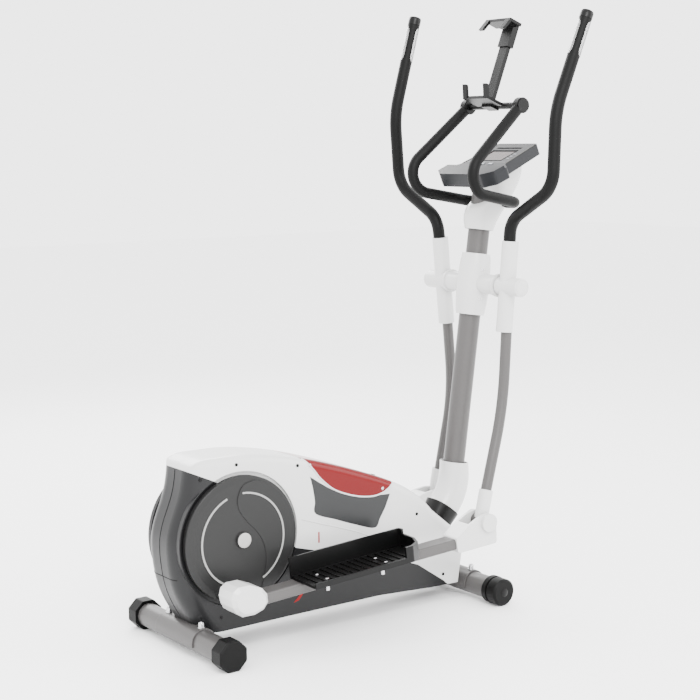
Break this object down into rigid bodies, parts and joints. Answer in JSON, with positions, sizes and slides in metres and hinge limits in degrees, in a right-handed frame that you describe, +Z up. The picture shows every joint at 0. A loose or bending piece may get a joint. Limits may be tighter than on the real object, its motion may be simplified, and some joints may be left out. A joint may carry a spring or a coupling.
{
  "type": "elliptical trainer",
  "caption": "Rear-drive elliptical cross-trainer with swinging arms, pedal bars on disc cranks, console and a tablet holder.",
  "frame": {"origin": "on the floor under the centre of the bounding box", "axes": "+X forward from the flywheel casing to the mast, +Y to the user's left, +Z up"},
  "size_m": [1.1518, 0.6092, 1.5655],
  "materials": {
    "white_plastic": "glossy",
    "dark_plastic": "satin",
    "disc_plastic": "satin",
    "red_gloss": "high gloss",
    "silver_paint": "satin metallic",
    "black_rubber": "matte",
    "black_foam": "matte foam",
    "black_plastic": "satin",
    "black_paint": "satin",
    "console_grey": "satin",
    "screen_glass": "glossy",
    "button_silver": "satin",
    "chrome_bolts": "polished",
    "steel": "machined",
    "cast_wheel": "cast",
    "belt_rubber": "matte",
    "magnet_steel": "painted"
  },
  "bodies": {
    "frame": {"casing_screws": "black_plastic", "console_housing": "console_grey", "console_screen": "screen_glass", "crank_bearing_shell": "black_paint", "drive_belt": "belt_rubber", "flywheel_bracket": "black_paint", "front_caps": "black_rubber", "front_stabiliser": "silver_paint", "handlebar": "black_paint", "handlebar_grips": "black_foam", "lower_casing_left": "dark_plastic", "lower_casing_right": "dark_plastic", "main_beam": "silver_paint", "mast": "silver_paint", "mast_boot": "white_plastic", "mast_collar": "black_plastic", "neck_cover": "white_plastic", "pivot_axle": "steel", "pivot_cover_front": "white_plastic", "pivot_cover_rear": "white_plastic", "rear_stabiliser": "silver_paint", "stabiliser_bolts": "chrome_bolts", "top_panel": "red_gloss", "upper_casing_left": "white_plastic", "upper_casing_right": "white_plastic"},
    "crank": {"crank_axle": "steel", "crank_disc_right": "disc_plastic", "crank_disc_left": "disc_plastic", "drive_pulley": "black_plastic"},
    "flywheel": {"flywheel": "cast_wheel"},
    "brake": {"brake_magnets": "magnet_steel"},
    "rear_cap_right": {"rear_cap_right": "black_rubber"},
    "rear_cap_left": {"rear_cap_left": "black_rubber"},
    "roller_right": {"transport_roller_right": "black_rubber"},
    "roller_left": {"transport_roller_left": "black_rubber"},
    "holder": {"holder_frame": "black_plastic"},
    "holder_claw": {"holder_claw": "black_plastic"},
    "button_left": {"console_button_left": "button_silver"},
    "button_middle": {"console_button_middle": "button_silver"},
    "button_right": {"console_button_right": "button_silver"},
    "right_arm": {"arm_tube_right": "silver_paint", "arm_sleeve_right": "white_plastic", "arm_cuff_right": "white_plastic", "handle_tube_right": "black_paint", "handle_grip_right": "black_foam"},
    "right_bar": {"pedal_bar_right": "silver_paint", "bar_housing_right": "white_plastic", "clevis_right": "white_plastic", "pedal_right": "black_plastic", "pedal_bolts_right": "chrome_bolts"},
    "left_arm": {"arm_tube_left": "silver_paint", "arm_sleeve_left": "white_plastic", "arm_cuff_left": "white_plastic", "handle_tube_left": "black_paint", "handle_grip_left": "black_foam"},
    "left_bar": {"pedal_bar_left": "silver_paint", "bar_housing_left": "white_plastic", "clevis_left": "white_plastic", "pedal_left": "black_plastic", "pedal_bolts_left": "chrome_bolts"}
  },
  "joints": [
    {"name": "crank_spin", "type": "hinge", "parent": "frame", "child": "crank", "pos_m": [-0.401, 0, 0.271], "axis": [0, 1, 0], "continuous": true},
    {"name": "flywheel_spin", "type": "hinge", "parent": "frame", "child": "flywheel", "pos_m": [-0.116, 0, 0.215], "axis": [0, 1, 0], "continuous": true},
    {"name": "brake_swing", "type": "hinge", "parent": "frame", "child": "brake", "pos_m": [0.012, 0, 0.169], "axis": [0, 1, 0], "range_deg": [-1, 5]},
    {"name": "rear_cap_right_turn", "type": "hinge", "parent": "frame", "child": "rear_cap_right", "pos_m": [-0.516, -0.2075, 0.037], "axis": [0, 1, 0], "range_deg": [-45, 45]},
    {"name": "rear_cap_left_turn", "type": "hinge", "parent": "frame", "child": "rear_cap_left", "pos_m": [-0.516, 0.2075, 0.037], "axis": [0, 1, 0], "range_deg": [-45, 45]},
    {"name": "roller_right_spin", "type": "hinge", "parent": "frame", "child": "roller_right", "pos_m": [0.33, -0.2, 0.037], "axis": [0, 1, 0], "continuous": true},
    {"name": "roller_left_spin", "type": "hinge", "parent": "frame", "child": "roller_left", "pos_m": [0.33, 0.2, 0.037], "axis": [0, 1, 0], "continuous": true},
    {"name": "right_arm_swing", "type": "hinge", "parent": "frame", "child": "right_arm", "pos_m": [0.405, 0, 0.841], "axis": [0, 1, 0], "range_deg": [-17, 6.7]},
    {"name": "left_arm_swing", "type": "hinge", "parent": "frame", "child": "left_arm", "pos_m": [0.405, 0, 0.841], "axis": [0, 1, 0], "range_deg": [-6.7, 17]},
    {"name": "right_bar_hinge", "type": "hinge", "parent": "right_arm", "child": "right_bar", "pos_m": [0.28913, -0.165, 0.22979], "axis": [0, 1, 0], "range_deg": [-6.7, 17]},
    {"name": "left_bar_hinge", "type": "hinge", "parent": "left_arm", "child": "left_bar", "pos_m": [0.40279, 0.165, 0.21891], "axis": [0, 1, 0], "range_deg": [-17, 6.7]},
    {"name": "holder_tilt", "type": "hinge", "parent": "frame", "child": "holder", "pos_m": [0.472, 0, 1.316], "axis": [0, 1, 0], "range_deg": [-30, 20]},
    {"name": "holder_claw_slide", "type": "slide", "parent": "holder", "child": "holder_claw", "axis": [0.3584, 0, 0.9336], "range_m": [-0.1, 0.03]},
    {"name": "button_left_press", "type": "slide", "parent": "frame", "child": "button_left", "axis": [0.3907, 0, -0.9205], "range_m": [0, 0.002], "stiffness_N_per_m": 400},
    {"name": "button_middle_press", "type": "slide", "parent": "frame", "child": "button_middle", "axis": [0.3907, 0, -0.9205], "range_m": [0, 0.002], "stiffness_N_per_m": 400},
    {"name": "button_right_press", "type": "slide", "parent": "frame", "child": "button_right", "axis": [0.3907, 0, -0.9205], "range_m": [0, 0.002], "stiffness_N_per_m": 400}
  ],
  "couplings": [
    {"joint": "flywheel_spin", "follows": "crank_spin", "ratio": 9.1119},
    {"joint": "left_arm_swing", "follows": "right_arm_swing", "ratio": -1},
    {"joint": "right_bar_hinge", "follows": "right_arm_swing", "ratio": -1},
    {"joint": "left_bar_hinge", "follows": "right_arm_swing", "ratio": 1}
  ]
}
